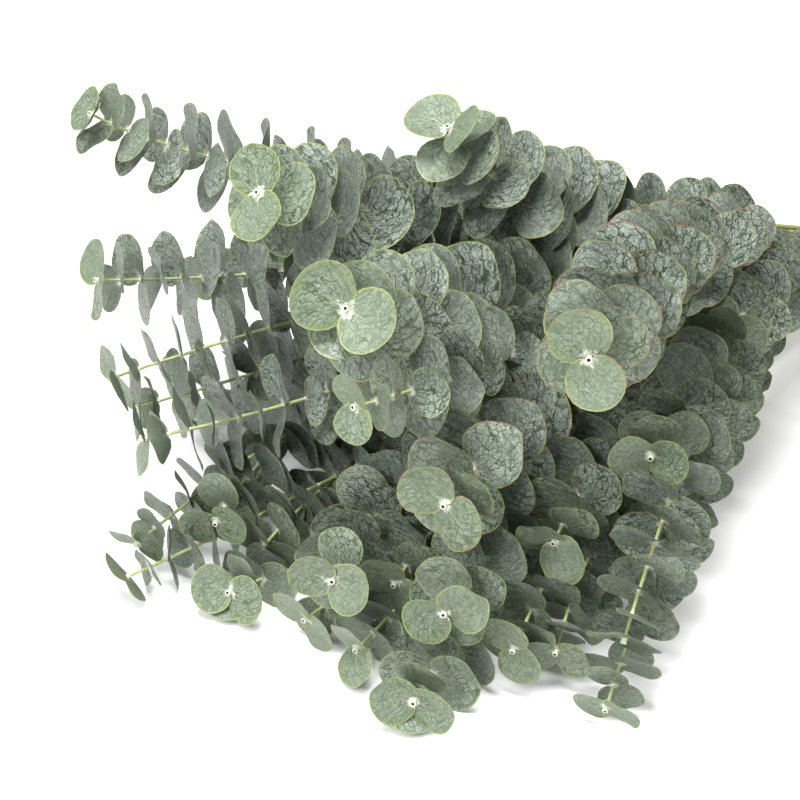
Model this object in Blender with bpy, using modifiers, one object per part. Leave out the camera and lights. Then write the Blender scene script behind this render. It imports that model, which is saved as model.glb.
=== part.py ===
"""A bunch of round-leaved eucalyptus, cut, banded and laid down on its side.

Every sprig is one solid: a thin woody stem that carries its leaves in opposite pairs, each
pair turned a quarter turn from the one before. The stems run together through a rubber band
near their cut ends and fan out towards their tips. The lower sprigs lie on the surface and
the others rest on them. Metres, +Z up. +X runs along the bunch from the leafy end to the
cut ends, and the origin is under the middle of the bunch, at the level of the surface.
"""

import itertools
import math

import bmesh
import bpy
import numpy as np
from mathutils import Matrix, Vector
from mathutils.bvhtree import BVHTree

# The bundle of stems and the band around it
BAND_HEIGHT = 0.057       # middle of the bundle above the surface, where the band holds it
BUNDLE_SLOPE = 23         # degrees that the banded stems climb towards the leaves
CUT_LENGTH = 0.095        # stem left beyond the band, on average
CUT_SPREAD = 0.012        # how much longer or shorter a single cut end may be
CUT_SPLAY = 0.55          # how far the cut ends part again, as a share of their offsets in the band
BAND_WIDTH = 0.009
BAND_THICKNESS = 0.0018
BAND_SIDES = 36

# Stems
STEM_RADIUS_CUT = 0.0024
STEM_RADIUS_BAND = 0.0022
STEM_RADIUS_TIP = 0.0009
STEM_GAP = 0.0004         # between two stems, and between the stems and the band
CURVE_ROOM = 0.0010       # added between stems that pass, because a solid's chords cut its curve
STEM_POINTS = 240         # on a stem's middle line
NUDGE_LENGTH = 0.09       # share of a stem that bends when it is moved out of another's way
LOWEST_STEM = 0.0035      # a stem's middle line is never closer to the surface than this
ARM_AT_BAND = 0.26        # share of the reach that leaves the band in the bundle's direction
ARM_AT_TIP = 0.30         # share of the reach that already points the tip's way
FAN_OUT = 12              # how strongly a stem's offset in the band turns it aside, per metre
BARE_STEM_STEPS = 6       # straight lengths of stem between its last leaves and the band
BUNDLE_START = 0.045      # how wide the bundle is before its stems are drawn together

# The pairs of leaves, measured back from the tip. The shoot was pinched off above its first
# pair, which spreads flat around the end of the stem. After the first three pairs a sprig
# carries every third one, which keeps the quarter turn from pair to pair and stands for the
# close-set leaves of the real one.
FIRST_PAIRS = (0.003, 0.017, 0.031)
PAIR_STEP = 0.045
LEAFY_LENGTH = 0.310
NODE_LENGTH = 0.0016      # stretch of stem that a pair of leaves grows from
SQUARE_TURN = 45          # degrees that bring a side of the square stem, not an edge, level

# A blade seen from above, as shares of its length and of its greatest width: it leaves the
# stem narrow, is nearly round, and ends blunt.
BLADE_STATIONS = ((0.20, 0.78), (0.66, 1.00), (1.00, 0.42))
BLADE_THICKNESS = (0.0013, 0.0011, 0.0008)
YOUNG_LEAF = 0.70         # size of the first pair's leaves, as a share of a full-grown one
FULL_GROWN_AT = 0.080     # distance from the tip where the leaves reach their full size
SHRINKS_FROM = 0.14       # from here back the leaves get smaller again
OLDEST_LEAF = 0.80        # size of the last pair's leaves, as a share of a full-grown one
YOUNG_LIFT = 15           # degrees that the first pair leans forward, towards the tip
OLD_LIFT = 8              # the same for full-grown pairs
LIFT_SPREAD = 15          # degrees, how much it differs from leaf to leaf
SWING_SPREAD = 9          # degrees that a leaf may stand off its place around the stem
TURN_SPREAD = 13          # degrees that a blade may be turned about its own length
SIZE_SPREAD = 0.06
LEAF_CLEARANCE = 0.0005   # free space kept around every blade

# One row for each sprig. Bearing is the angle to the side seen from above (+ towards +Y) and
# lift the angle above the horizontal, both in degrees, of the line from the band to the tip,
# and reach is its length. The second pair of angles is the direction in which the tip
# points. Leaf is the width of a full-grown leaf. The first pair of leaves spreads level to
# both sides, and roll turns it about the stem from there.
SPRIGS = [
    # bearing, lift, reach, tip bearing, tip lift, leaf, roll
    (-20, 16.0, 0.545, -38, 3, 0.042, 60),
    (-13, 5.5, 0.560, -30, 4, 0.042, 45),
    (3, 26.0, 0.460, -6, 60, 0.041, 0),
    (6, 18.5, 0.565, -23, 32, 0.042, 65),
    (-5, 15.0, 0.570, -33, 34, 0.044, 15),
    (22, 17.5, 0.620, 6, 36, 0.037, 10),
    (15, 9.5, 0.620, 8, 15, 0.038, 40),
    (-8, 10.5, 0.585, -3, 10, 0.030, 80),
    (10, 5.5, 0.625, 20, -11, 0.033, 20),
    (6, 3.5, 0.625, 31, -7, 0.034, 70),
    (-24, -1.0, 0.540, -24, -46, 0.031, 40),
    (-24, -4.0, 0.565, -28, -24, 0.029, -20),
    (-18, -2.5, 0.560, -25, -20, 0.034, 60),
    (-20, -3.0, 0.545, -32, -20, 0.033, 15),
    (-15, -3.5, 0.615, -31, 8, 0.037, 5),
    (-15, 0.5, 0.585, -30, 6, 0.036, -30),
    (-18, 2.5, 0.515, -28, -8, 0.036, 50),
    (-10, -3.5, 0.600, -13, -10, 0.032, 70),
    (-8, 0.0, 0.595, -41, 8, 0.035, 10),
    (-10, -1.0, 0.565, -24, -12, 0.036, 55),
    (-6, -3.5, 0.600, -5, -6, 0.032, 30),
    (-1, -3.5, 0.615, -14, 16, 0.035, 0),
    (0, -2.5, 0.580, -23, -8, 0.034, 40),
    (2, -1.0, 0.600, -38, -8, 0.034, -15),
    (5, -2.5, 0.640, -3, -20, 0.029, 30),
    (4, -3.5, 0.655, 17, -12, 0.027, 65),
    (13, 1.5, 0.600, 6, 2, 0.034, 45),
    (-22, 7.5, 0.465, -26, -3, 0.034, -10),
    (-21, 12.5, 0.345, -11, -4, 0.034, 25),
    (12, 12.5, 0.500, 20, 10, 0.036, 15),
    (19, -4.5, 0.545, -6, -2, 0.036, 45),
    (22, 5.5, 0.520, -2, 4, 0.037, 10),
]


def direction(bearing, lift):
    """The unit vector at a bearing and a lift in degrees. Bearing 0 points along -X."""
    bearing, lift = math.radians(bearing), math.radians(lift)
    level = math.cos(lift)
    return Vector((-math.cos(bearing) * level, math.sin(bearing) * level, math.sin(lift)))


BAND_CENTRE = Vector((0, 0, BAND_HEIGHT))
BUNDLE_AXIS = direction(0, BUNDLE_SLOPE)
BUNDLE_SIDE = Vector((0, 1, 0))
BUNDLE_UP = BUNDLE_SIDE.cross(BUNDLE_AXIS)


def clear_scene():
    for obj in list(bpy.data.objects):
        bpy.data.objects.remove(obj)


def smoothstep(low, high, value):
    share = min(max((value - low) / (high - low), 0), 1)
    return share * share * (3 - 2 * share)


def resample(line, shares):
    """Points of a line at the given shares of its length."""
    run = np.concatenate([[0], np.cumsum(np.linalg.norm(np.diff(line, axis=0), axis=1))])
    at = np.asarray(shares) * run[-1]
    return np.stack([np.interp(at, run, line[:, axis]) for axis in range(3)], axis=1)


def length_of(line):
    return float(np.linalg.norm(np.diff(line, axis=0), axis=1).sum())


def bezier(start, leave, arrive, end, count):
    share = np.linspace(0, 1, count)[:, None]
    rest = 1 - share
    weights = (rest**3, 3 * rest**2 * share, 3 * rest * share**2, share**3)
    points = (start, leave, arrive, end)
    return sum(weight * np.array(point) for weight, point in zip(weights, points))


def places_in_band():
    """Where each stem crosses the band, as offsets (side, up) from its middle.

    The stems start out spread the way their tips are, so that none has to cross another, and
    are then drawn together until they touch.
    """
    angles = np.radians([(bearing, lift - BUNDLE_SLOPE / 3) for bearing, lift, *_ in SPRIGS])
    places = np.tan(angles) * BUNDLE_START
    apart = 2 * STEM_RADIUS_BAND + STEM_GAP
    others = 1 - np.eye(len(places))
    for _ in range(600):
        places *= 0.985
        for _ in range(4):
            offset = places[:, None] - places[None]
            distance = np.linalg.norm(offset, axis=2) + np.eye(len(places))
            push = np.clip(apart - distance, 0, None) * others / distance
            places = places + (offset * push[..., None]).sum(axis=1) * 0.5
    return places


def stem_line(sprig, place, cut_length):
    """The middle line of a stem: a curve from the tip to the band, then straight to the cut end."""
    bearing, lift, reach, tip_bearing, tip_lift, _, _ = sprig
    offset = BUNDLE_SIDE * place[0] + BUNDLE_UP * place[1]
    band = BAND_CENTRE + offset
    leaving = (BUNDLE_AXIS + offset * FAN_OUT).normalized()
    cut = band - BUNDLE_AXIS * cut_length + offset * CUT_SPLAY
    tip = BAND_CENTRE + direction(bearing, lift) * reach
    arriving = tip - direction(tip_bearing, tip_lift) * reach * ARM_AT_TIP
    fan = bezier(tip, arriving, band + leaving * reach * ARM_AT_BAND, band, 160)
    line = np.vstack([fan, np.linspace(band, cut, 24)[1:]])
    line[:, 2] = np.maximum(line[:, 2], LOWEST_STEM)
    return line


def ahead_of_band(points):
    """How far points are in front of the band's middle, measured along the bundle."""
    return (points - np.array(BAND_CENTRE)) @ np.array(BUNDLE_AXIS)


def part_stems(lines):
    """Bends stems away from each other, a pair at a time, at the point where they come closest.

    A nudge dies away along the stem like a bell curve, and leaves its tip and the band alone.
    """
    shares = np.linspace(0, 1, STEM_POINTS)
    stems = np.array([resample(line, shares) for line in lines])
    ahead = ahead_of_band(stems)
    free = np.clip(np.minimum(shares / 0.1, (ahead - BAND_WIDTH) / 0.06), 0, 1)[..., None]
    radius = STEM_RADIUS_TIP + (STEM_RADIUS_BAND - STEM_RADIUS_TIP) * shares
    room = radius + (STEM_GAP + CURVE_ROOM * free[..., 0]) / 2
    for _ in range(24):
        for first, second in itertools.combinations(range(len(stems)), 2):
            one, other = (stems[number][ahead[number] > BAND_WIDTH] for number in (first, second))
            if np.linalg.norm(one[::6, None] - other[::6], axis=2).min() > 6 * STEM_RADIUS_BAND:
                continue
            distance = np.linalg.norm(one[:, None] - other, axis=2)
            short = room[first][: len(one), None] + room[second][: len(other)] - distance
            near, far = np.unravel_index(short.argmax(), short.shape)
            if short[near, far] <= 0:
                continue
            away = (one[near] - other[far]) / distance[near, far] * short[near, far] * 0.6
            for number, at, side in ((first, near, 1), (second, far, -1)):
                bell = np.exp(-(((shares - shares[at]) / NUDGE_LENGTH) ** 2))[:, None]
                stems[number] = stems[number] + bell * free[number] * away * side
    return stems


def pair_stations():
    """How far back from the tip each pair of leaves grows."""
    stations = list(FIRST_PAIRS)
    while stations[-1] + PAIR_STEP < LEAFY_LENGTH:
        stations.append(stations[-1] + PAIR_STEP)
    return stations


def stem_radius(back, length):
    """Radius of a stem a distance back from its tip: it grows evenly to the band, then hardly."""
    backs = (0, length - CUT_LENGTH, length)
    return float(np.interp(back, backs, (STEM_RADIUS_TIP, STEM_RADIUS_BAND, STEM_RADIUS_CUT)))


def back_to_band(line, beyond):
    """How far back from its tip a stem is at the band, or a distance beyond the band's middle."""
    run = np.concatenate([[0], np.cumsum(np.linalg.norm(np.diff(line, axis=0), axis=1))])
    return float(np.interp(beyond, -ahead_of_band(line), run))


def make_stem(name, line, roll):
    """A square tube along the line, with a section on each side of every pair and of the band."""
    length = length_of(line)
    backs = [0.0]
    for station in pair_stations():
        backs += [station - NODE_LENGTH / 2, station + NODE_LENGTH / 2]
    backs += list(np.linspace(backs[-1], back_to_band(line, -BAND_WIDTH), BARE_STEM_STEPS + 1)[1:])
    backs += [back_to_band(line, BAND_WIDTH), length]
    points = resample(line, np.array(backs) / length)

    curve = bpy.data.curves.new(name, "CURVE")
    curve.dimensions = "3D"
    curve.bevel_depth = 1
    curve.bevel_resolution = 0
    curve.use_fill_caps = True
    curve.twist_mode = "Z_UP"
    spline = curve.splines.new("POLY")
    spline.points.add(len(points) - 1)
    for control, point, back in zip(spline.points, points, backs):
        control.co = (*point, 1)
        control.radius = stem_radius(back, length)
        control.tilt = math.radians(roll + SQUARE_TURN)
    guide = bpy.data.objects.new(name + "_guide", curve)
    bpy.context.scene.collection.objects.link(guide)
    graph = bpy.context.evaluated_depsgraph_get()
    mesh = bpy.data.meshes.new_from_object(guide.evaluated_get(graph))
    bpy.data.objects.remove(guide)

    shape = bmesh.new()
    shape.from_mesh(mesh)
    bpy.data.meshes.remove(mesh)
    bmesh.ops.remove_doubles(shape, verts=shape.verts, dist=0.00001)
    bmesh.ops.recalc_face_normals(shape, faces=shape.faces)
    return shape


def leaf_size(back, full):
    """Length of a leaf a distance back from the tip: small on the shoot, largest behind it."""
    young = YOUNG_LEAF + (1 - YOUNG_LEAF) * smoothstep(0, FULL_GROWN_AT, back)
    old = 1 - (1 - OLDEST_LEAF) * smoothstep(SHRINKS_FROM, LEAFY_LENGTH, back)
    return full * young * old


def blade_sections(base, axis, across, size):
    """The blade's cross-sections, each as its middle, half its width and half its thickness."""
    normal = across.cross(axis).normalized()
    return [(base + axis * size * along, across * size * share / 2, normal * thickness / 2)
            for (along, share), thickness in zip(BLADE_STATIONS, BLADE_THICKNESS)]


def blade_corners(sections):
    corners = ((-1, -1), (1, -1), (1, 1), (-1, 1))
    return [middle + wide * w + thick * t for middle, wide, thick in sections for w, t in corners]


def wider(half, extra):
    return half + half.normalized() * extra


def blade_tree(root, sections):
    """A search tree of the leaf, from its root on the stem to its end, with clearance around it."""
    grown = [(middle, wider(wide, LEAF_CLEARANCE), wider(thick, LEAF_CLEARANCE))
             for middle, wide, thick in (root, *sections)]
    quads = [(0, 1, 2, 3), (12, 13, 14, 15)]
    for start in (0, 4, 8):
        for side in range(4):
            after = (side + 1) % 4
            quads.append((start + side, start + after, start + 4 + after, start + 4 + side))
    # A twisted quad may be split along either diagonal, so the tree holds both pairs of triangles.
    triangles = []
    for a, b, c, d in quads:
        triangles += [(a, b, c), (a, c, d), (a, b, d), (b, c, d)]
    return BVHTree.FromPolygons(blade_corners(grown), triangles)


def leaf_poses():
    """Ways to hold a leaf, as (lean, swing, turn, size), from the least changed one."""
    for leans, swings, turns, size in (
        ((0, 14, -14, 28, -26, 42), (0,), (0,), 1.0),
        ((0, 14, -14, 28, -26, 42), (16, -16, 30, -30), (0,), 1.0),
        ((0, 16, -16, 34, -30, 50), (0, 22, -22), (25, -25), 0.9),
        ((0, 20, -20, 40, 55), (0, 25, -25), (0, 35, -35), 0.72),
    ):
        for lean in leans:
            for swing in swings:
                for turn in turns:
                    yield lean, swing, turn, size


def held_clear(facet, along, own_pose, size, obstacles):
    """The sections and the search tree of a leaf, in its first pose that is clear of everything."""
    own_lift, own_swing, own_turn = own_pose
    base, outwards = facet.calc_center_median(), facet.normal.copy()
    across = outwards.cross(along).normalized()
    root = (base, across * math.sqrt(facet.calc_area()) / 2, along * NODE_LENGTH / 2)
    for lean, swing, turn, scale in leaf_poses():
        swung = Matrix.Rotation(math.radians(own_swing + swing), 3, along)
        leant = Matrix.Rotation(math.radians(own_lift + lean), 3, across)
        axis = swung @ (leant @ outwards)
        wide = Matrix.Rotation(math.radians(own_turn + turn), 3, axis) @ (swung @ across)
        sections = blade_sections(base, axis, wide, size * scale)
        if min(corner.z for corner in blade_corners(sections)) < LEAF_CLEARANCE:
            continue
        tree = blade_tree(root, sections)
        if not any(tree.overlap(other) for other in obstacles):
            return sections, tree
    return None, None


def extrude_blade(shape, facet, sections, along):
    """Pulls a facet of the stem out through the blade's sections, each corner staying a corner."""
    middle = facet.calc_center_median()
    across = facet.normal.cross(along)
    offsets = [corner.co - middle for corner in facet.verts]
    sides = [(math.copysign(1, offset.dot(across)), math.copysign(1, offset.dot(along)))
             for offset in offsets]
    for middle, wide, thick in sections:
        facet = bmesh.ops.extrude_discrete_faces(shape, faces=[facet])["faces"][0]
        for corner, (w, t) in zip(facet.verts, sides):
            corner.co = middle + wide * w + thick * t


def make_sprig(name, line, leaf, roll, obstacles, random):
    """One sprig: the square stem, with a leaf pulled out of two opposite sides at every pair."""
    shape = make_stem(name, line, roll)
    length = length_of(line)
    blades = []
    across_last_pair = None
    for back in pair_stations():
        near = np.array([back, back - NODE_LENGTH]) / length
        node, ahead = (Vector(point) for point in resample(line, near))
        along = (ahead - node).normalized()
        nearest = sorted(shape.faces, key=lambda facet: (facet.calc_center_median() - node).length)
        sides = nearest[:4]
        if across_last_pair is None:
            level = along.cross(Vector((0, 0, 1)))
            first_pair = Matrix.Rotation(math.radians(-roll), 3, along) @ level
            across_last_pair = along.cross(first_pair).normalized()
        pair = sorted(sides, key=lambda facet: abs(facet.normal.dot(across_last_pair)))[:2]
        across_last_pair = pair[0].normal.copy()
        for facet in pair:
            lift = YOUNG_LIFT + (OLD_LIFT - YOUNG_LIFT) * smoothstep(0, FULL_GROWN_AT, back)
            spreads = np.array((LIFT_SPREAD, SWING_SPREAD, TURN_SPREAD))
            own_pose = random.uniform(-spreads, spreads) + (lift, 0, 0)
            size = leaf_size(back, leaf) * random.uniform(1 - SIZE_SPREAD, 1 + SIZE_SPREAD)
            sections, tree = held_clear(facet, along, own_pose, size, blades + obstacles)
            if sections:
                extrude_blade(shape, facet, sections, along)
                blades.append(tree)
    tree = BVHTree.FromBMesh(shape)
    mesh = bpy.data.meshes.new(name)
    shape.to_mesh(mesh)
    shape.free()
    return mesh, tree


def material(name, color, roughness):
    """A plain dull finish. Neither the leaves nor the band have any metal in them."""
    made = bpy.data.materials.new(name)
    made.use_nodes = True
    shader = made.node_tree.nodes["Principled BSDF"]
    shader.inputs["Base Color"].default_value = (*color, 1)
    shader.inputs["Roughness"].default_value = roughness
    shader.inputs["Metallic"].default_value = 0
    return made


def make_sprigs(collection, lines, random):
    """Every sprig in turn, held clear of those before it and of the stems still to come."""
    stems = []
    for line, sprig in zip(lines, SPRIGS):
        shape = make_stem("stem", line, sprig[-1])
        stems.append(BVHTree.FromBMesh(shape))
        shape.free()
    grown = []
    for number, (line, (*_, leaf, roll)) in enumerate(zip(lines, SPRIGS), 1):
        name = f"sprig_{number:02d}"
        mesh, tree = make_sprig(name, line, leaf, roll, grown + stems[number:], random)
        grown.append(tree)
        tone = random.uniform(0.85, 1.15)
        mesh.materials.append(material(name, (0.19 * tone, 0.26 * tone, 0.21 * tone), 0.6))
        collection.objects.link(bpy.data.objects.new(name, mesh))


def bundle_radius(lines):
    """How far from the middle of the bundle the stems reach inside the band."""
    shares = np.linspace(0, 1, 6 * STEM_POINTS)
    points = np.vstack([resample(line, shares) for line in lines])
    ahead = ahead_of_band(points)
    inside = np.abs(ahead) < BAND_WIDTH
    aside = points - np.array(BAND_CENTRE) - ahead[:, None] * np.array(BUNDLE_AXIS)
    return float(np.linalg.norm(aside[inside], axis=1).max()) + STEM_RADIUS_BAND


def make_band(collection, inner):
    """The rubber band: a flat strip turned once around the bundle."""
    outer = inner + BAND_THICKNESS
    half = BAND_WIDTH / 2
    profile = [(outer, 0, half), (outer, 0, -half), (inner, 0, -half), (inner, 0, half)]
    mesh = bpy.data.meshes.new("rubber_band")
    mesh.from_pydata(profile, [(0, 1), (1, 2), (2, 3), (3, 0)], [])
    mesh.materials.append(material("band_rubber", (0.55, 0.33, 0.15), 0.5))
    band = bpy.data.objects.new("rubber_band", mesh)
    collection.objects.link(band)
    screw = band.modifiers.new("turn", "SCREW")
    screw.steps = screw.render_steps = BAND_SIDES
    screw.use_merge_vertices = True
    screw.merge_threshold = 0.00001
    band.location = BAND_CENTRE
    band.rotation_euler = BUNDLE_AXIS.to_track_quat("Z", "Y").to_euler()


def centre_bunch(collection):
    """Hangs the whole bunch on an empty that puts the middle of its underside at the origin."""
    bpy.context.view_layer.update()
    graph = bpy.context.evaluated_depsgraph_get()
    corners = np.array([obj.matrix_world @ vertex.co for obj in collection.objects
                        for vertex in obj.evaluated_get(graph).data.vertices])
    low, high = corners.min(axis=0), corners.max(axis=0)
    middle = bpy.data.objects.new("bunch_middle", None)
    middle.location = (-(low[0] + high[0]) / 2, -(low[1] + high[1]) / 2, -low[2])
    for obj in collection.objects:
        obj.parent = middle
    collection.objects.link(middle)


def main():
    clear_scene()
    bunch = bpy.data.collections.new("eucalyptus_bunch")
    bpy.context.scene.collection.children.link(bunch)
    random = np.random.default_rng(7)
    cuts = CUT_LENGTH + random.uniform(-CUT_SPREAD, CUT_SPREAD, len(SPRIGS))
    lines = part_stems([stem_line(*stem) for stem in zip(SPRIGS, places_in_band(), cuts)])
    make_sprigs(bunch, lines, random)
    make_band(bunch, bundle_radius(lines) + STEM_GAP)
    centre_bunch(bunch)


main()
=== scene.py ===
# %% [markdown]
# # A bunch of round-leaved eucalyptus, laid on a pale table
#
# Thirty-two cut sprigs are held by a rubber band near their ends and fan out towards their
# tips. Each sprig is a thin woody stem with round, waxy, blue-green leaves that sit on it in
# opposite pairs, every pair a quarter turn from the one before. The model of the bunch's
# dimensions is loaded first and stays fixed: it says where each stem runs and where each of
# its main leaves is held. This file gives those stems and leaves their real surfaces, adds
# the close-set leaves between them, and lights the bunch.

# %% Load the frame that every piece is built around
import math

import bpy
import numpy as np
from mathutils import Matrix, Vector
from mathutils.bvhtree import BVHTree


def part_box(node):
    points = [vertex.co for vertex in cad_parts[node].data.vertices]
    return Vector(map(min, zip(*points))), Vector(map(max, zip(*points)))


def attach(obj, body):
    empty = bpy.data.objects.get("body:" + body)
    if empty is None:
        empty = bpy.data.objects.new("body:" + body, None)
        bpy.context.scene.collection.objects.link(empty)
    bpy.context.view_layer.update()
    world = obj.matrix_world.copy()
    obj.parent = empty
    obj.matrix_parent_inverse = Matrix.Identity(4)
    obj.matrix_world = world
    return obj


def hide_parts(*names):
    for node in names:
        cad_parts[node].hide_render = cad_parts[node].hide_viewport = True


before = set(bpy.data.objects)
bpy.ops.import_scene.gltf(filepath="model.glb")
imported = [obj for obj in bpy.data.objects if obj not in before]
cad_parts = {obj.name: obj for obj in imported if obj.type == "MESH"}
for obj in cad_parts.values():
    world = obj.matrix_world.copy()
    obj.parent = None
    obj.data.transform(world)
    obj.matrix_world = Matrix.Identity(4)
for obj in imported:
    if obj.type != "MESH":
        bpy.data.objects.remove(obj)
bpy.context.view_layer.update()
random = np.random.default_rng(19)
sprig_names = sorted(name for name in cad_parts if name.startswith("sprig_"))
print("sprigs in the frame:", len(sprig_names))

# %% [markdown]
# ## Camera, light and table
#
# The bunch is seen from its leafy end, from well above the table. A long lens keeps the
# leaves near the eye from growing too large. The light is that of a white studio: an even
# white surround, a broad soft lamp overhead, one on the left that reaches the upright faces,
# and a weak one on the right. They leave only faint shadows under the lowest sprigs. The
# colours are shown as they are, with no film curve.

# %% Point the camera at the leafy part of the bunch
CAMERA_BEARING = math.radians(-40)
CAMERA_HEIGHT_ANGLE = math.radians(30)
CAMERA_DISTANCE = 0.98
AIM_FROM_BAND = np.array((-0.474, -0.006, 0.043))

band_low, band_high = (np.array(corner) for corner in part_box("rubber_band"))
aim = (band_low + band_high) / 2 + AIM_FROM_BAND
back_off = np.array((
    math.sin(CAMERA_BEARING) * math.cos(CAMERA_HEIGHT_ANGLE),
    -math.cos(CAMERA_BEARING) * math.cos(CAMERA_HEIGHT_ANGLE),
    math.sin(CAMERA_HEIGHT_ANGLE),
))
lens = bpy.data.cameras.new("camera")
lens.lens = 70
lens.sensor_width = 36
camera = bpy.data.objects.new("camera", lens)
camera.location = aim + back_off * CAMERA_DISTANCE
camera.rotation_euler = Vector(-back_off).to_track_quat("-Z", "Y").to_euler()
bpy.context.scene.collection.objects.link(camera)
bpy.context.scene.camera = camera
print("camera stands at", np.round(camera.location, 3))

# %% Hang the lamps and lay the table
bpy.context.scene.view_settings.view_transform = "Standard"


def add_lamp(name, watts, width, place, target):
    """A square soft lamp at a place, turned to face a target."""
    light = bpy.data.lights.new(name, "AREA")
    light.energy = watts
    light.size = width
    lamp = bpy.data.objects.new(name, light)
    lamp.location = place
    lamp.rotation_euler = (Vector(target) - Vector(place)).to_track_quat("-Z", "Y").to_euler()
    bpy.context.scene.collection.objects.link(lamp)


add_lamp("key_lamp", 50, 0.8, (-0.50, -0.20, 1.95), aim)
add_lamp("left_lamp", 26, 0.8, (-1.70, -0.30, 1.30), aim)
add_lamp("right_lamp", 7, 1.0, (0.70, -1.10, 1.50), aim)
surround = bpy.data.worlds.new("white_surround")
surround.use_nodes = True
surround.node_tree.nodes["Background"].inputs["Color"].default_value = (1, 1, 1, 1)
surround.node_tree.nodes["Background"].inputs["Strength"].default_value = 0.64
bpy.context.scene.world = surround

TABLE_HALF = 6.0
TABLE_DROP = 0.0003
table_mesh = bpy.data.meshes.new("table")
corners = np.array(((-1, -1), (1, -1), (1, 1), (-1, 1))) * TABLE_HALF
table_mesh.from_pydata([(x, y, -TABLE_DROP) for x, y in corners], [], [(0, 1, 2, 3)])
table_paint = bpy.data.materials.new("white_table")
table_paint.use_nodes = True
table_shader = table_paint.node_tree.nodes["Principled BSDF"]
table_shader.inputs["Base Color"].default_value = (0.94, 0.94, 0.94, 1)
table_shader.inputs["Roughness"].default_value = 0.9
table_mesh.materials.append(table_paint)
table = bpy.data.objects.new("table", table_mesh)
bpy.context.scene.collection.objects.link(table)

# %% [markdown]
# ## Reading the sprigs back from the frame
#
# Each sprig of the frame is one closed solid: a square tube, with flat tapered blades pulled
# out of its sides. To dress it, the line of the stem and the hold of every blade are needed.
# They are read from the solid itself. The end of a blade is the only place where two corners
# are exactly 0.8 mm apart, so every blade starts there, and its other cross-sections are
# reached by walking from corner to neighbouring corner. What is left is the tube, which is
# walked in the same way from its cut end, four corners at a time.

# %% Merge the corners of a solid, and walk over it
BLADE_END_THICKNESS = 0.0008
CORNERS = 4               # of every cross-section, both of a blade and of the tube


def welded(name):
    """A solid's corners, with those that lie on each other merged, and its triangles."""
    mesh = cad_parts[name].data
    mesh.calc_loop_triangles()
    places = np.zeros(len(mesh.vertices) * 3)
    mesh.vertices.foreach_get("co", places)
    triangles = np.zeros(len(mesh.loop_triangles) * 3, int)
    mesh.loop_triangles.foreach_get("vertices", triangles)
    corners, merged = np.unique(np.round(places.reshape(-1, 3), 6), axis=0, return_inverse=True)
    return corners, merged.reshape(-1)[triangles].reshape(-1, 3)


def neighbours_of(triangles, count):
    """For every corner, the set of the corners that share an edge with it."""
    sets = [set() for _ in range(count)]
    for a, b, c in triangles.tolist():
        sets[a] |= {b, c}
        sets[b] |= {a, c}
        sets[c] |= {a, b}
    return sets


def next_section(section, seen, neighbours):
    """The corners that touch a section and were not walked over before."""
    return set().union(*(neighbours[corner] for corner in section)) - seen


def read_sprig(name):
    """The tube's sections from the tip back, and the blades with the corners they grow from."""
    corners, triangles = welded(name)
    neighbours = neighbours_of(triangles, len(corners))
    ends = {}
    for a, touching in enumerate(neighbours):
        for b in touching:
            if abs(np.linalg.norm(corners[a] - corners[b]) - BLADE_END_THICKNESS) < 2e-6:
                ends[a] = b
    blades, seen = [], set()
    for a, b in ends.items():
        if a in seen:
            continue
        end = {a, b} | {c for corner in (a, b) for c in neighbours[corner] if c in ends}
        seen |= end
        widest = next_section(end, seen, neighbours)
        seen |= widest
        first = next_section(widest, seen, neighbours)
        seen |= first
        root = next_section(first, seen, neighbours)
        blades.append([sorted(section) for section in (first, widest, end, root)])
    tube = [corner for corner in range(len(corners)) if corner not in seen]
    section = set(sorted(tube, key=lambda corner: -corners[corner][0])[:CORNERS])
    rings = []
    while section:
        rings.append(sorted(section))
        seen |= section
        section = next_section(section, seen, neighbours)
    return corners, rings[::-1], blades


read = {name: read_sprig(name) for name in sprig_names}
print("blades found:", sum(len(blades) for _, _, blades in read.values()))

# %% [markdown]
# ## The line of a stem
#
# A real stem bends smoothly, and the tube of the frame only follows it in straight lengths.
# The middles of the tube's sections lie on the true line, so a smooth curve is laid through
# them: between two points it is a cubic that leaves and arrives in the direction from the
# point before to the point after. Distances are measured back from the tip, because that is
# how the leaves are spaced.

# %% Lay a smooth curve through the middles of a tube's sections
PAIRS_IN_FRAME = 9
POINTS_PER_STRETCH = 24


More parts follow.
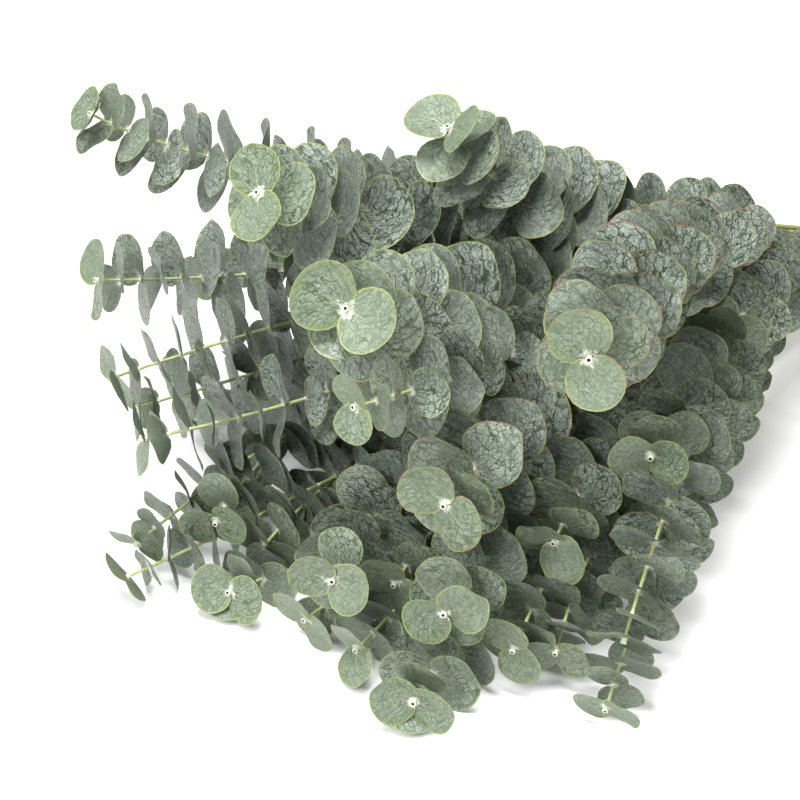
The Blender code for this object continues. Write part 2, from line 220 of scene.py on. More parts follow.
class StemLine:
    """A stem's middle line, from its tip back to its cut end, with its radius all along."""

    def __init__(self, corners, rings):
        middles = np.array([corners[ring].mean(axis=0) for ring in rings])
        radii = np.array([np.linalg.norm(corners[ring] - middle, axis=1).mean()
                          for ring, middle in zip(rings, middles)])
        node_pairs = [(1 + 2 * k, 2 + 2 * k) for k in range(PAIRS_IN_FRAME)]
        nodes = np.array([(middles[a] + middles[b]) / 2 for a, b in node_pairs])
        knots = np.vstack([middles[:1], nodes, middles[1 + 2 * PAIRS_IN_FRAME:]])
        self.points = self.curve_through(knots)
        steps = np.linalg.norm(np.diff(self.points, axis=0), axis=1)
        self.run = np.concatenate([[0], np.cumsum(steps)])
        self.length = self.run[-1]
        self.nodes = self.run[::POINTS_PER_STRETCH][1:1 + PAIRS_IN_FRAME]
        stretches = np.linalg.norm(np.diff(middles, axis=0), axis=1)
        straight = np.concatenate([[0], np.cumsum(stretches)])
        self.radius_at = lambda back: np.interp(back, straight / straight[-1] * self.length, radii)

    @staticmethod
    def curve_through(knots):
        """Catmull and Rom's cubic: h00 a + h10 Ta + h01 b + h11 Tb, with the usual four weights."""
        before = np.vstack([2 * knots[0] - knots[1], knots[:-1]])
        after = np.vstack([knots[1:], 2 * knots[-1] - knots[-2]])
        gaps = np.linalg.norm(np.diff(knots, axis=0), axis=1)
        back_gap = np.concatenate([gaps[:1], gaps])[:, None]
        next_gap = np.concatenate([gaps, gaps[-1:]])[:, None]
        slope = (after - before) / (back_gap + next_gap)
        s = (np.arange(POINTS_PER_STRETCH) / POINTS_PER_STRETCH)[None, :, None]
        weights = (2 * s**3 - 3 * s**2 + 1, s**3 - 2 * s**2 + s, 3 * s**2 - 2 * s**3, s**3 - s**2)
        gap = gaps[:, None, None]
        curve = (weights[0] * knots[:-1, None] + weights[1] * gap * slope[:-1, None]
                 + weights[2] * knots[1:, None] + weights[3] * gap * slope[1:, None])
        return np.vstack([curve.reshape(-1, 3), knots[-1:]])

    def at(self, back):
        """The points a distance back from the tip."""
        return np.stack([np.interp(back, self.run, self.points[:, k]) for k in range(3)], axis=-1)

    def forward(self, back):
        """The unit directions towards the tip, a distance back from it."""
        ahead = (self.at(np.maximum(back - 0.001, 0))
                 - self.at(np.minimum(back + 0.001, self.length)))
        return ahead / np.linalg.norm(ahead, axis=-1, keepdims=True)


lines = {name: StemLine(corners, rings) for name, (corners, rings, _) in read.items()}
print("stems are", *(f"{line.length:.3f}" for line in list(lines.values())[:6]), "... m long")

# %% [markdown]
# ## Where the leaves sit
#
# The real sprig carries a pair of leaves every centimetre and a half. The frame has the three
# youngest pairs and then every third one, so two pairs are missing between its pairs. A leaf
# is described by where it leaves the stem, the way it points, the way its width runs, its
# size, and how far it is from the tip. The frame's own blades give theirs directly.

# %% Describe the frame's own leaves
FRAME_PAIRS = (0, 1, 2, 5, 8, 11, 14, 17, 20)
PAIR_SPACING = 0.015
BLADE_SPAN = 0.80         # share of a leaf's length between a blade's first and last section


def unit(vector):
    return vector / np.linalg.norm(vector)


def leaf(sprig, back, pair, base, axis, across, size, own=True):
    """One leaf: across is made square to its axis, and its upper side faces its sprig's tip."""
    across = unit(across - axis * (across @ axis))
    up = np.cross(across, axis)
    if up @ lines[sprig].forward(back) < 0:
        across, up = -across, -up
    return dict(sprig=sprig, back=back, pair=pair, base=base, axis=axis, across=across, up=up,
                size=size, own=own)


leaves = []
sides = {}                # the two ways out of the stem at each pair, by sprig and pair number
for name, (corners, rings, blades) in read.items():
    line = lines[name]
    for first, widest, end, root in blades:
        near, far = corners[first].mean(axis=0), corners[end].mean(axis=0)
        size = np.linalg.norm(far - near) / BLADE_SPAN
        axis = unit(far - near)
        base = corners[root].mean(axis=0)
        wide = corners[widest] - corners[widest].mean(axis=0)
        number = int(np.argmin(np.linalg.norm(line.at(line.nodes) - base, axis=1)))
        pair = FRAME_PAIRS[number]
        back = line.nodes[number]
        outward = unit(base - line.at(back))
        sides.setdefault((name, pair), outward)
        longest = wide[np.argmax(np.linalg.norm(wide, axis=1))]
        leaves.append(leaf(name, back, pair, base, axis, longest, size))
sizes = np.array([one["size"] for one in leaves])
print("own leaves:", len(leaves), "from", sizes.min().round(3), "to", sizes.max().round(3), "m")

# %% [markdown]
# ## Filling in the missing pairs
#
# The leaves in between must not pass through their neighbours, which on the real bunch push
# each other aside. Each new leaf is tried the way it would grow, and then leaned, swung and
# turned a little further each time, and last made smaller, until its blade is clear of every
# leaf and stem around it. For that test a blade is only a flat twelve-sided disc.

# %% Tell whether a blade is clear of its surroundings
DISC_SIDES = 12
DISC_SHARE = 0.90         # the rim of a blade may touch its neighbour's
disc_angles = np.linspace(0, 2 * np.pi, DISC_SIDES, endpoint=False)
disc_fan = [(0, i + 1, (i + 1) % DISC_SIDES + 1) for i in range(DISC_SIDES)]


def disc_points(one):
    """Centre and rim of a leaf's disc: centre + half the size * (across cos a + axis sin a)."""
    half = one["size"] / 2
    centre = one["base"] + one["axis"] * half
    rim = np.cos(disc_angles)[:, None] * one["across"] + np.sin(disc_angles)[:, None] * one["axis"]
    return np.vstack([centre, centre + rim * half * DISC_SHARE])


def disc_tree(one):
    return BVHTree.FromPolygons(disc_points(one).tolist(), disc_fan)


def stem_tree(line):
    """Two crossed strips along a stem, as wide as it is, from its tip to the band."""
    backs = np.arange(0.004, line.length - 0.06, 0.010)
    middle, ahead = line.at(backs), line.forward(backs)
    one = np.cross(ahead, (0, 0, 1.0))
    one /= np.linalg.norm(one, axis=1, keepdims=True)
    other = np.cross(ahead, one)
    radius = line.radius_at(backs)[:, None]
    edges = [middle - one * radius, middle + one * radius,
             middle - other * radius, middle + other * radius]
    count = len(backs)
    quads = [(a * count + i, a * count + i + 1, b * count + i + 1, b * count + i)
             for a, b in ((0, 1), (2, 3)) for i in range(count - 1)]
    return BVHTree.FromPolygons(np.vstack(edges).tolist(), quads)


stem_trees = {name: stem_tree(line) for name, line in lines.items()}
placed_centres = [one["base"] + one["axis"] * one["size"] / 2 for one in leaves]
placed_sizes = [one["size"] for one in leaves]
placed_trees = [disc_tree(one) for one in leaves]


def is_clear(one):
    """True if a leaf's disc touches no leaf, no other sprig's stem and not the table."""
    points = disc_points(one)
    if points[:, 2].min() < 0.0012:
        return False
    gaps = np.linalg.norm(np.array(placed_centres) - points[0], axis=1)
    near = np.nonzero(gaps < (np.array(placed_sizes) + one["size"]) / 2)[0]
    tree = disc_tree(one)
    if any(tree.overlap(placed_trees[k]) for k in near):
        return False
    return not any(tree.overlap(stem) for name, stem in stem_trees.items() if name != one["sprig"])


# %% Grow the missing pairs
YOUNG_SHARE, OLD_SHARE = 0.70, 0.80
FULL_GROWN_AT, SHRINKS_FROM, LEAFY_LENGTH = 0.080, 0.14, 0.310
YOUNG_LEAN, OLD_LEAN = 15, 8
HOLDS = [
    (lean, swing, turn, size)
    for leans, swings, turns, size in (
        ((0, 10, -10, 20, -20, 32), (0, 12, -12), (0,), 1.0),
        ((0, 12, -12, 26, -26, 42, 55), (0, 20, -20, 34, -34), (0, 22, -22), 0.94),
        ((0, 16, -16, 36, -30, 56, 70), (0, 24, -24), (0, 25, -25), 0.78),
        ((0, 20, -20, 45, 65), (0, 25, -25), (0, 35, -35), 0.62),
    )
    for lean in leans for swing in swings for turn in turns
]


def smoothstep(low, high, value):
    share = np.clip((value - low) / (high - low), 0, 1)
    return share * share * (3 - 2 * share)


def grown_size(back, full):
    """A leaf's length: small on the shoot, largest behind it, a little less on the oldest pairs."""
    young = YOUNG_SHARE + (1 - YOUNG_SHARE) * smoothstep(0, FULL_GROWN_AT, back)
    return full * young * (1 - (1 - OLD_SHARE) * smoothstep(SHRINKS_FROM, LEAFY_LENGTH, back))


def turned(vector, axis, degrees):
    """Rodrigues' formula: v cos a + (k x v) sin a + k (k . v)(1 - cos a)."""
    angle = math.radians(degrees)
    return (vector * math.cos(angle) + np.cross(axis, vector) * math.sin(angle)
            + axis * (axis @ vector) * (1 - math.cos(angle)))


def outward_at(sprig, pair, ahead):
    """The way out of the stem for a missing pair: that of the nearest pair it lies in line with."""
    line_up = [p for s, p in sides if s == sprig and (p - pair) % 2 == 0]
    across = [p for s, p in sides if s == sprig and (p - pair) % 2 == 1]
    if line_up:
        out = sides[sprig, min(line_up, key=lambda p: abs(p - pair))]
    else:
        out = np.cross(ahead, sides[sprig, min(across, key=lambda p: abs(p - pair))])
    return unit(out - ahead * (out @ ahead))


def grow(sprig, back, pair, full, lean_angle):
    """Adds a pair of leaves, each in the first hold that is clear, and says how many it added."""
    line = lines[sprig]
    middle, ahead = line.at(back), line.forward(back)
    out = outward_at(sprig, pair, ahead)
    added = 0
    for outward in (out, -out):
        across = np.cross(outward, ahead)
        base = middle + outward * line.radius_at(back) * 0.7
        size = full * random.uniform(0.93, 1.06)
        own_lean = random.uniform(-15, 15)
        own_swing = random.uniform(-9, 9)
        own_turn = random.uniform(-13, 13)
        for lean, swing, turn, share in HOLDS:
            swung_out = turned(outward, ahead, swing + own_swing)
            swung_across = turned(across, ahead, swing + own_swing)
            axis = turned(swung_out, swung_across, lean_angle + lean + own_lean)
            if axis @ ahead < swung_out @ ahead:
                axis = turned(swung_out, swung_across, -(lean_angle + lean + own_lean))
            one = leaf(sprig, back, pair, base, axis, turned(swung_across, axis, turn + own_turn),
                       size * share, own=False)
            if is_clear(one):
                leaves.append(one)
                placed_centres.append(one["base"] + one["axis"] * one["size"] / 2)
                placed_sizes.append(one["size"])
                placed_trees.append(disc_tree(one))
                added += 1
                break
    return added


own_full = {}
for name in sprig_names:
    own = [one for one in leaves if one["sprig"] == name and 2 <= one["pair"] <= 8]
    own_full[name] = float(np.median([one["size"] / grown_size(one["back"], 1.0) for one in own]))
wanted = added = 0
for name in sprig_names:
    line = lines[name]
    for pair in range(FRAME_PAIRS[-1] + 2):
        if pair in FRAME_PAIRS:
            continue
        back = 0.031 + (pair - 2) * PAIR_SPACING
        size = grown_size(back, own_full[name])
        lean = OLD_LEAN + (YOUNG_LEAN - OLD_LEAN) * (1 - smoothstep(0, FULL_GROWN_AT, back))
        wanted += 2
        added += grow(name, back, pair, size, lean)
print("leaves filled in:", added, "of", wanted)

# %% [markdown]
# ## The surface of a leaf
#
# A full-grown leaf is nearly a disc, four centimetres across and less than half a millimetre
# thick. It hugs the stem with two small lobes, is folded a little along its midrib, dished
# like a saucer, and its rim rises and falls in slow waves. A square grid is bent into a disc,
# and the height is worked out over the disc for all leaves of a sprig at once. The upper and
# lower faces share their rim, so each leaf is one closed skin.

# %% Bend a square grid into a disc
CELLS_ACROSS, CELLS_ALONG = 6, 5
spaced = lambda cells: np.sqrt(2) * np.sin(np.linspace(-np.pi / 4, np.pi / 4, cells + 1))
grid_s, grid_t = np.meshgrid(spaced(CELLS_ACROSS), spaced(CELLS_ALONG))
# x = s sqrt(1 - t^2 / 2) and y = t sqrt(1 - s^2 / 2) take the square's edge to the unit circle.
disc_x = (grid_s * np.sqrt(1 - grid_t**2 / 2)).ravel()
disc_y = (grid_t * np.sqrt(1 - grid_s**2 / 2)).ravel()
on_rim = np.maximum(np.abs(grid_s), np.abs(grid_t)).ravel() > 0.999
across_count = CELLS_ACROSS + 1
upper_faces = np.array([
    (row * across_count + col, row * across_count + col + 1,
     (row + 1) * across_count + col + 1, (row + 1) * across_count + col)
    for row in range(CELLS_ALONG) for col in range(CELLS_ACROSS)
])
lower_corner = np.arange(len(disc_x))
lower_corner[~on_rim] = len(disc_x) + np.arange((~on_rim).sum())
# Turned over, but split along the same diagonal, so that the two faces never cross.
lower_faces = lower_corner[upper_faces][:, [0, 3, 2, 1]]
leaf_faces = np.vstack([upper_faces, lower_faces])
leaf_x = np.concatenate([disc_x, disc_x[~on_rim]])
leaf_y = np.concatenate([disc_y, disc_y[~on_rim]])
leaf_side = np.concatenate([np.ones(len(disc_x)), -np.ones((~on_rim).sum())])
leaf_side[: len(disc_x)][on_rim] = 0
print("a leaf has", len(leaf_faces), "faces and", len(leaf_x), "corners")

# %% Work out the skins of many leaves at once
LEAF_THICKNESS = 0.00046
FULL_WAX_AT = 0.07        # how far behind the tip a leaf has its whole coat of wax
LOBE_REACH = 0.0026       # how far the two lobes reach back past the root, around the stem


def leaf_skins(group, draws):
    """Corners of every leaf's skin, as leaves x corners x 3.

    Along the axis a point lies at size * (0.5 + 0.5 y), less the lobes beside the root. Across
    it lies at half the size * x * (1 - egg y). It rises by size * (dish r^2 + fold |x| -
    curl (along)^2 + wave r^3 sin(3 angle + phase)), and by half the thickness on either face.
    """
    column = lambda values: np.asarray(values)[:, None]
    size = column([one["size"] for one in group])
    x, y = leaf_x[None], leaf_y[None]
    r, angle = np.hypot(x, y), np.arctan2(y, x)
    share = 0.5 + 0.5 * y
    lobes = LOBE_REACH * (1 - np.exp(-((x / 0.20) ** 2))) * np.clip(-y * 1.6 - 0.4, 0, 1)
    point = column(draws["point"]) * np.exp(-((x / 0.35) ** 2)) * np.clip(y, 0, 1) ** 4
    along = size * (share + point) - lobes
    egg = 0.03 + column(draws["egg"])
    across = size * 0.5 * x * (1 - egg * y) * column(draws["breadth"])
    rise = size * (
        column(draws["dish"]) * (r**2 - 0.35) + column(draws["fold"]) * np.abs(x)
        - column(draws["curl"]) * share**2
        + column(draws["wave"]) * r**3 * np.sin(3 * angle + column(draws["phase"]))
        + column(draws["wave"]) * 0.5 * r**4 * np.sin(5 * angle + 2 * column(draws["phase"]))
    )
    rise += leaf_side * LEAF_THICKNESS / 2 * (1 - 0.6 * r**2)
    frame_of = {key: np.array([one[key] for one in group])[:, None]
                for key in ("base", "axis", "across", "up")}
    return (frame_of["base"] + frame_of["axis"] * along[..., None]
            + frame_of["across"] * across[..., None]
            + frame_of["up"] * rise[..., None])


def draw_shapes(group):
    """The chances of growth: each leaf's own dish, fold, curl, waves and tone.

    The leaves nearest the tip are broader than they are long, and overlap around the shoot.
    """
    count = len(group)
    wider = 0.17 * (1 - smoothstep(0.003, 0.045, np.array([one["back"] for one in group])))
    return dict(
        egg=random.uniform(-0.05, 0.06, count),
        breadth=random.uniform(1.00, 1.14, count) + wider,
        point=random.uniform(-0.03, 0.06, count) ** 2 * 10,
        dish=random.uniform(-0.03, 0.09, count), fold=random.uniform(-0.02, 0.12, count),
        curl=random.uniform(-0.08, 0.16, count), wave=random.uniform(0.005, 0.040, count),
        phase=random.uniform(0, 2 * np.pi, count), tone=random.uniform(0, 1, count),
    )


# %% Put a shape into a mesh object
def make_piece(name, corners, faces, smooth=True):
    """A piece at the origin, whose place is in its corners."""
    mesh = bpy.data.meshes.new(name)
    mesh.from_pydata(corners.tolist(), [], faces.tolist() if hasattr(faces, "tolist") else faces)
    mesh.polygons.foreach_set("use_smooth", np.full(len(mesh.polygons), smooth))
    piece = bpy.data.objects.new(name, mesh)
    bpy.context.scene.collection.objects.link(piece)
    return piece


def crease(piece, on_edge):
    """Marks the edges between two flagged corners as sharp, so each face shades on its own."""
    pairs = np.zeros(len(piece.data.edges) * 2, int)
    piece.data.edges.foreach_get("vertices", pairs)
    sharp = piece.data.attributes.new("sharp_edge", "BOOLEAN", "EDGE")
    sharp.data.foreach_set("value", on_edge[pairs.reshape(-1, 2)].all(axis=1))


def set_number(piece, name, per_face):
    """Stores one number for every face, for a material to read."""
    layer = piece.data.attributes.new(name, "FLOAT", "FACE")
    layer.data.foreach_set("value", np.asarray(per_face, np.float32))


def set_uv(piece, uv_per_corner):
    layer = piece.data.uv_layers.new(name="blade")
    order = np.zeros(len(piece.data.loops), int)
    piece.data.loops.foreach_get("vertex_index", order)
    layer.data.foreach_set("uv", uv_per_corner[order].astype(np.float32).ravel())


def make_leaves(name, group, ruddy):
    """All the leaves of one sprig as one piece."""
    draws = draw_shapes(group)
    skins = leaf_skins(group, draws)
    skins[..., 2] = np.maximum(skins[..., 2], 0.0001)
    count, corner_count = skins.shape[:2]
    faces = (leaf_faces[None] + np.arange(count)[:, None, None] * corner_count).reshape(-1, 4)
    piece = make_piece(name, skins.reshape(-1, 3), faces)
    crease(piece, np.tile(leaf_side == 0, count))
    uv = np.stack([0.5 + 0.5 * leaf_x, 0.5 + 0.5 * leaf_y], axis=1)
    set_uv(piece, np.tile(uv, (count, 1)))
    face_count = len(leaf_faces)
    under = np.concatenate([np.zeros(len(upper_faces)), np.ones(len(lower_faces))])
    set_number(piece, "underside", np.tile(under, count))
    set_number(piece, "tone", np.repeat(draws["tone"], face_count))
    ages = [smoothstep(0, FULL_WAX_AT, one["back"]) for one in group]
    set_number(piece, "age", np.repeat(ages, face_count))
    set_number(piece, "ruddy", np.full(count * face_count, ruddy))
    set_number(piece, "first", np.repeat([float(one["pair"] == 0) for one in group], face_count))
    return piece


# %% [markdown]
# ## The surface of a stem
#
# The stem is a round twig that swells a little at every pair of leaves. It is closed by a
# flat, pale cut at one end. At the other, where the shoot was pinched off between its
# youngest leaves, it widens into a waxy collar around a small hole, whose floor and inner
# wall are painted near-black as painted shade for the shadow inside it.

# %% Carry a circle along a stem
STEM_SIDES = 8
NODE_SWELLING = 0.32
NODE_SPREAD = 0.0016
TIP_COLLAR = 0.0019       # radius of the waxy collar where the shoot was pinched off


def make_stem(name, line, backs_of_pairs):
    """A tube: centre(back) + radius(back) * (one cos a + other sin a), closed at both ends."""
    around_nodes = [back + step for back in backs_of_pairs
                    for step in (-0.0026, -0.0012, 0, 0.0012, 0.0026)]
    evenly = np.arange(0, line.length, 0.008)
    backs = np.concatenate([evenly, around_nodes, [line.length]])
    backs = np.unique(np.clip(backs, 0, line.length))
    middle, ahead = line.at(backs), line.forward(backs)
    swell = np.exp(-(((backs[:, None] - np.array(backs_of_pairs)) / NODE_SPREAD) ** 2)).sum(axis=1)
    radius = line.radius_at(backs) * (1 + NODE_SWELLING * swell)
    collar = np.array([(0.0006, 0.45), (-0.0004, 0.55), (-0.0006, 0.85), (-0.0001, 1.0)])
    backs = np.concatenate([collar[:, 0], backs[1:]])
    tip, out_of_tip = line.at(np.zeros(1)), line.forward(np.zeros(1))
    middle = np.concatenate([tip - out_of_tip * collar[:, :1], middle[1:]])
    ahead = np.concatenate([np.repeat(ahead[:1], len(collar), axis=0), ahead[1:]])
    swell = np.concatenate([np.repeat(swell[:1], len(collar)), swell[1:]])
    swell = np.maximum(swell, backs < 0.004)
    wide_tip = 1 + (TIP_COLLAR / radius[0] - 1) * np.clip(1 - backs / 0.004, 0, 1)
    radius = np.concatenate([np.full(len(collar), radius[0]) * collar[:, 1], radius[1:]]) * wide_tip
    one = np.cross(ahead, (0, 1.0, 0.0))
    one /= np.linalg.norm(one, axis=1, keepdims=True)
    other = np.cross(ahead, one)
    angle = np.linspace(0, 2 * np.pi, STEM_SIDES, endpoint=False)
    tube = (middle[:, None] + radius[:, None, None]
            * (one[:, None] * np.cos(angle)[:, None] + other[:, None] * np.sin(angle)[:, None]))
    tube[..., 2] = np.maximum(tube[..., 2], 0.0001)
    ring, side = np.meshgrid(np.arange(len(backs) - 1), np.arange(STEM_SIDES), indexing="ij")
    next_side = (side + 1) % STEM_SIDES
    walls = np.stack([ring * STEM_SIDES + side, (ring + 1) * STEM_SIDES + side,
                      (ring + 1) * STEM_SIDES + next_side, ring * STEM_SIDES + next_side],
                     axis=-1).reshape(-1, 4)
    last = (len(backs) - 1) * STEM_SIDES
    ends = [list(range(STEM_SIDES)), [last + k for k in reversed(range(STEM_SIDES))]]
    faces = walls.tolist() + ends
    piece = make_piece(name, tube.reshape(-1, 3), faces)
    flat = np.ones(len(faces), bool)
    flat[-1] = False
    piece.data.polygons.foreach_set("use_smooth", flat)
    wall_back = ((backs[:-1] + backs[1:]) / 2)[ring.ravel()]
    wall_node = ((swell[:-1] + swell[1:]) / 2)[ring.ravel()]
    set_number(piece, "back", np.concatenate([wall_back, [0, line.length]]))
    set_number(piece, "node", np.concatenate([wall_node, [1, 0]]))
    set_number(piece, "cut", np.concatenate([np.zeros(len(walls) + 1), [1]]))
    # The floor and inner wall of the hole at the tip are flagged for painted shade.
    set_number(piece, "painted_hole_shade", np.concatenate([ring.ravel() == 0, [1, 0]]))
    return piece

# %% [markdown]
# ## Writing finishes as sums
#
# A finish is a web of shader nodes. To keep it readable, a node's output is wrapped so that
# ordinary sums on it add the Math nodes, and every other node comes from one method that
# takes its type, its settings and its inputs.

# %% Wrap a socket so that sums on it add nodes
class Wire:
    """A number, colour or vector that runs between the nodes of one finish."""

    def __init__(self, tree, socket=None):
        self.tree, self.socket = tree, socket

    def node(self, kind, settings=None, inputs=None, output=0):
        """Adds a node of a type, sets its settings, then the values or links of its inputs."""
        made = self.tree.nodes.new("ShaderNode" + kind)
        for key, value in (settings or {}).items():
            if key == "stops":
                ramp = made.color_ramp
                for number, (place, colour) in enumerate(value):
                    stop = ramp.elements[number] if number < 2 else ramp.elements.new(place)
                    stop.position, stop.color = place, (*colour, 1)
            else:
                setattr(made, key, value)
        for key, value in (inputs or {}).items():
            socket = made.inputs[key]
            if isinstance(value, Wire):
                self.tree.links.new(value.socket, socket)
            elif isinstance(value, tuple) and socket.type == "RGBA":
                socket.default_value = (*value, 1)
            else:
                socket.default_value = value
        return Wire(self.tree, made.outputs[output] if made.outputs else None)

    def sum(self, operation, *values):
        return self.node("Math", {"operation": operation}, dict(enumerate(values)))

    def __add__(self, other): return self.sum("ADD", self, other)
    def __sub__(self, other): return self.sum("SUBTRACT", self, other)
    def __mul__(self, other): return self.sum("MULTIPLY", self, other)
    def __radd__(self, other): return self.sum("ADD", other, self)
    def __rsub__(self, other): return self.sum("SUBTRACT", other, self)
    def __rmul__(self, other): return self.sum("MULTIPLY", other, self)

    def between(self, low, high):
        """0 below low, 1 above high, and a smooth rise from one to the other."""
        return self.node("MapRange", {"interpolation_type": "SMOOTHSTEP"},
                         {"Value": self, "From Min": low, "From Max": high})

    def mix(self, first, second):
        """The first colour where this is 0, the second where it is 1."""
        return self.node("Mix", {"data_type": "RGBA"}, {0: self, 6: first, 7: second}, output=2)

    def noise(self, place, scale, detail=2.0, roughness=0.5):
        return self.node("TexNoise", {}, {"Vector": place, "Scale": scale, "Detail": detail,
                                          "Roughness": roughness})

    def attribute(self, name):
        return self.node("Attribute", {"attribute_name": name}, output=2)


def new_finish(name):
    """An empty material, and a wire to start its nodes from."""
    material = bpy.data.materials.new(name)
    material.use_nodes = True
    material.node_tree.nodes.clear()
    return material, Wire(material.node_tree)


def close_finish(wire, shader):
    wire.node("OutputMaterial", {}, {"Surface": shader})


# %% [markdown]
# ## The finish of a leaf
#
# The leaf itself is a dull green. What is seen first is the bloom on it: a coat of fine grey
# wax, speckled, and thicker in some leaves than in others. It is thin along the veins, so
# they show as a dark net that spreads from the root. The net is drawn as the edges of cells
# laid out by angle and distance, because that makes them long and thin near the root and
# wide near the rim. Young leaves are greener and have less wax. The rim is bare of wax and
# yellow-green, or reddish on some sprigs, and the underside is greyer. Light from behind
# comes through as yellow-green.

# %% Mix the waxy leaf
LEAF_GREEN = (0.035, 0.056, 0.029)
LEAF_FRESH = (0.058, 0.092, 0.040)
BLOOM = (0.425, 0.490, 0.425)
BLOOM_FRESH = (0.298, 0.350, 0.270)
UNDERSIDE = (0.150, 0.176, 0.130)
RIM_GREEN = (0.300, 0.360, 0.130)
SHOOT_GREEN = (0.150, 0.215, 0.060)
RIM_RED = (0.260, 0.120, 0.080)
VEIN = (0.430, 0.480, 0.330)
POWDER = (0.780, 0.790, 0.700)
THROUGH = (0.300, 0.420, 0.090)

leaf_finish, w = new_finish("waxy_leaf")
place = w.node("TexCoord", output=3)
uv = w.node("SeparateXYZ", {}, {0: w.node("TexCoord", output=2)})
x = 2 * uv - 1
y = 2 * Wire(w.tree, uv.socket.node.outputs[1]) - 1
rim_distance = w.sum("SQRT", x * x + y * y)
root_distance = w.sum("SQRT", x * x + (y + 1) * (y + 1))
tone, age = w.attribute("tone"), w.attribute("age")
underside, ruddy = w.attribute("underside"), w.attribute("ruddy")

patches = w.noise(place, 75, 3.0, 0.5)
mottle = w.noise(place, 850, 5.0, 0.7)
bend = w.noise(place, 190, 3.0, 0.6)
angle = w.sum("ARCTAN2", x, y + 1.03)


def vein_net(meshes_around, meshes_along, wander, thin, wide):
    """1 on the veins: the edges of cells laid out by angle and distance from the root."""
    fan = w.node("CombineXYZ", {}, {
        0: angle * meshes_around + bend * wander,
        1: root_distance * meshes_along - bend * wander,
        2: tone * 90 + age * 9,
    })
    edge = w.node("TexVoronoi", {"feature": "DISTANCE_TO_EDGE"}, {"Vector": fan, "Scale": 1.0})
    return 1 - edge.between(thin, wide)


main_net = vein_net(5.6, 3.2, 2.2, 0.01, 0.14)
fine_net = vein_net(13.0, 8.0, 4.0, 0.0, 0.20)
net = w.sum("MAXIMUM", main_net, fine_net * 0.6)
worn = (patches + mottle * 0.5 + tone * 0.35).between(0.66, 1.08)
speckle = (mottle * 0.9 + patches * 0.4).between(0.52, 0.74)
wax = (1 - net * (0.46 + worn * 0.54)) * (0.26 + speckle * 0.54 + tone * 0.20)
midrib = (1 - w.sum("ABSOLUTE", x).between(0.006, 0.035)) * (1 - y.between(-0.7, 0.1)) * 0.7

green = (1 - age).mix(LEAF_GREEN, LEAF_FRESH)
bloom = (1 - age).mix(BLOOM, BLOOM_FRESH)
coated = wax.mix(green, bloom)
coated = (midrib * 0.6).mix(coated, VEIN)
greyer = (underside * 0.5).mix(coated, UNDERSIDE)
blush = (ruddy * (mottle * 0.3 + patches * 0.9).between(0.50, 0.72)).mix(RIM_GREEN, RIM_RED)
first = w.attribute("first")
fresh = first * (patches * 0.6 + rim_distance * 0.5).between(0.62, 0.86) * 0.42
greyer = fresh.mix(greyer, SHOOT_GREEN)
rim_edge = (rim_distance + mottle * 0.05).between(0.955, 1.0)
rimmed = (rim_edge * 0.85).mix(greyer, blush)
ragged = root_distance + (bend - 0.5) * 0.9 + main_net * 0.10 - first * 0.04
powder = 1 - ragged.between(0.08, 0.34)
socketed = (powder * 0.9).mix(rimmed, POWDER)

height = mottle * 0.5 - net * 0.9
bump = w.node("Bump", {}, {"Strength": 0.35, "Distance": 0.0004, "Height": height})
skin = w.node("BsdfPrincipled", {}, {
    "Base Color": socketed,
    "Roughness": 0.36 - wax * 0.06 + mottle * 0.18,
    "Normal": bump,
    "Specular IOR Level": 0.5,
})
glow = w.node("BsdfTranslucent", {}, {"Color": THROUGH, "Normal": bump})
close_finish(w, w.node("MixShader", {}, {0: 0.12, 1: skin, 2: glow}))

# %% [markdown]
# ## The finish of a stem
#
# Near its tip the stem is soft and yellow-green under a little wax. Further back it turns to
# thin greenish-brown bark with fine lengthwise streaks. The wax is thickest, nearly white, at
# every pair of leaves. The cut shows pale wood with darker grain. The hole at the tip is
# painted near-black, as painted shade for the shadow inside it.

# %% Mix the bark and the cut
YOUNG_BARK = (0.430, 0.480, 0.200)
BARK = (0.330, 0.330, 0.130)
NODE_WAX = (0.720, 0.730, 0.620)
# Painted shade: near-black for the shadow at the bottom of the hole at the tip.
PAINTED_HOLE_SHADE = (0.030, 0.014, 0.008)
WOOD = (0.560, 0.480, 0.290)

stem_finish, w = new_finish("green_bark")
place = w.node("TexCoord", output=3)
back, node_wax, cut = w.attribute("back"), w.attribute("node"), w.attribute("cut")
stretched = w.node("Mapping", {}, {"Vector": place, "Scale": (0.25, 1.0, 1.0)})
streaks = w.noise(stretched, 900, 4.0, 0.6)
blotches = w.noise(place, 110, 3.0)
ageing = (back + blotches * 0.10).between(0.10, 0.50)
bark = ageing.mix(YOUNG_BARK, BARK)
bark = ((streaks.between(0.35, 0.75)) * 0.35).mix(bark, (0.115, 0.120, 0.060))
bark = (blotches.between(0.5, 0.8) * 0.35).mix(bark, (0.400, 0.430, 0.330))
bark = (node_wax.between(0.15, 0.9) * 0.8).mix(bark, NODE_WAX)
grain = w.noise(place, 2200, 3.0)
wood = (grain.between(0.35, 0.7) * 0.6).mix(WOOD, (0.400, 0.310, 0.160))
bump = w.node("Bump", {}, {"Strength": 0.5, "Distance": 0.0003, "Height": streaks})
close_finish(w, w.node("BsdfPrincipled", {}, {
    # The hole at the tip gets its painted shade here.
    "Base Color": w.attribute("painted_hole_shade").mix(cut.mix(bark, wood), PAINTED_HOLE_SHADE),
    "Roughness": 0.55 + streaks * 0.2,
    "Normal": bump,
    "Specular IOR Level": 0.35,
}))

# %% [markdown]
# ## The rubber band
#
# The florist's band is a flat strip of natural rubber, wound twice around the stems. The two
# turns lie side by side and overlap a little where the strip passes from one to the other.

# %% Mix the rubber, and wind the band
RUBBER = (0.560, 0.330, 0.140)

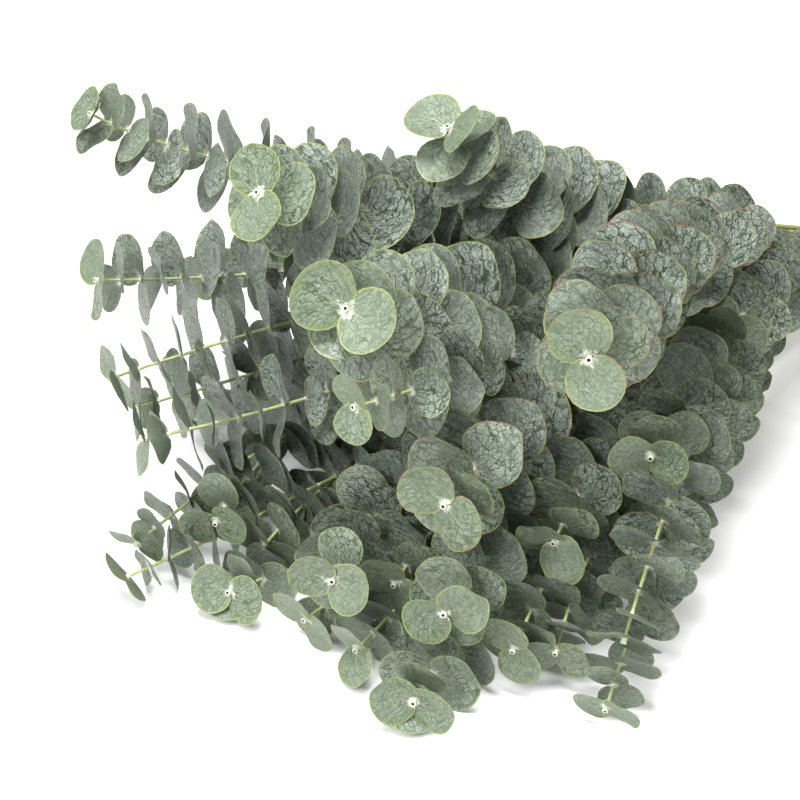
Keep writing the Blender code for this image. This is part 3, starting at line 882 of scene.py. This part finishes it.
rubber_finish, w = new_finish("natural_rubber")
place = w.node("TexCoord", output=3)
cloud = w.noise(place, 240, 4.0, 0.6)
dust = w.noise(place, 1600, 2.0)
tint = cloud.between(0.3, 0.7).mix(RUBBER, (0.430, 0.235, 0.085))
tint = (dust.between(0.62, 0.8) * 0.4).mix(tint, (0.640, 0.500, 0.330))
bump = w.node("Bump", {}, {"Strength": 0.3, "Distance": 0.0002, "Height": cloud + dust * 0.3})
close_finish(w, w.node("BsdfPrincipled", {}, {
    "Base Color": tint, "Roughness": 0.42 + cloud * 0.2, "Normal": bump,
    "Subsurface Weight": 0.15, "Subsurface Radius": (0.002, 0.001, 0.0005), "Subsurface Scale": 1.0,
}))


def band_frame():
    """Middle of the band, the way the bundle runs through it, and two ways across."""
    corners, _ = welded("rubber_band")
    middle = corners.mean(axis=0)
    _, _, ways = np.linalg.svd(corners - middle)
    along = ways[2]
    across = np.array((0.0, 1.0, 0.0))
    across = unit(across - along * (across @ along))
    reach = (corners - middle) @ along
    distance = np.linalg.norm(corners - middle - reach[:, None] * along, axis=1)
    up = np.cross(along, across)
    return middle, along, across, up, np.ptp(reach), distance.min(), distance.max()


def make_band(name):
    """Two turns of a strip: radius(a), and a place along the stems that shifts between turns."""
    middle, along, across, up, width, inner, outer = band_frame()
    turns, steps, strip = 2.0, 144, width * 0.52
    a = np.linspace(0, 2 * np.pi * turns, steps + 1)
    shift = (smoothstep(0.35, 0.65, a / (2 * np.pi * turns)) - 0.5) * (width - strip)
    thick = (outer - inner) * 0.62
    lift = (outer - inner - thick) * 0.5 * (1 + np.cos(a / turns - np.pi))
    profile_angle = np.linspace(0, 2 * np.pi, 12, endpoint=False)
    px = np.sign(np.cos(profile_angle)) * np.abs(np.cos(profile_angle)) ** 0.4 * strip / 2
    pr = np.sign(np.sin(profile_angle)) * np.abs(np.sin(profile_angle)) ** 0.6 * thick / 2
    radius = inner + thick / 2 + lift
    way = across * np.cos(a)[:, None] + up * np.sin(a)[:, None]
    tube = (middle + (shift[:, None] + px)[..., None] * along
            + (radius[:, None] + pr)[..., None] * way[:, None])
    sides = len(profile_angle)
    ring, side = np.meshgrid(np.arange(steps), np.arange(sides), indexing="ij")
    walls = np.stack([ring * sides + side, ring * sides + (side + 1) % sides,
                      (ring + 1) * sides + (side + 1) % sides, (ring + 1) * sides + side],
                     axis=-1).reshape(-1, 4)
    ends = [list(reversed(range(sides))), [steps * sides + k for k in range(sides)]]
    faces = walls.tolist() + ends
    return make_piece(name, tube.reshape(-1, 3), faces)


# %% [markdown]
# ## Putting the bunch together
#
# Each sprig gets two pieces, its leaves and its stem, which stand for its solid in the frame.

# %% Dress every sprig and the band
RUDDY_SPRIGS = {"sprig_01", "sprig_02"}

face_total = 0
for name in sprig_names:
    number = name[-2:]
    group = [one for one in leaves if one["sprig"] == name]
    ruddy = 1.0 if name in RUDDY_SPRIGS else random.uniform(0, 0.25)
    leafy = make_leaves("leaves_" + number, group, ruddy)
    leafy.data.materials.append(leaf_finish)
    backs_of_pairs = sorted({round(float(one["back"]), 4) for one in group})
    twig = make_stem("stem_" + number, lines[name], backs_of_pairs)
    twig.data.materials.append(stem_finish)
    for piece, slot in ((leafy, "leaf"), (twig, "stem")):
        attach(piece, "root")
        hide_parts(name)
        face_total += len(piece.data.polygons)
band = make_band("band_turns")
band.data.materials.append(rubber_finish)
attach(band, "root")
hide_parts("rubber_band")
print("faces in all:", face_total + len(band.data.polygons))
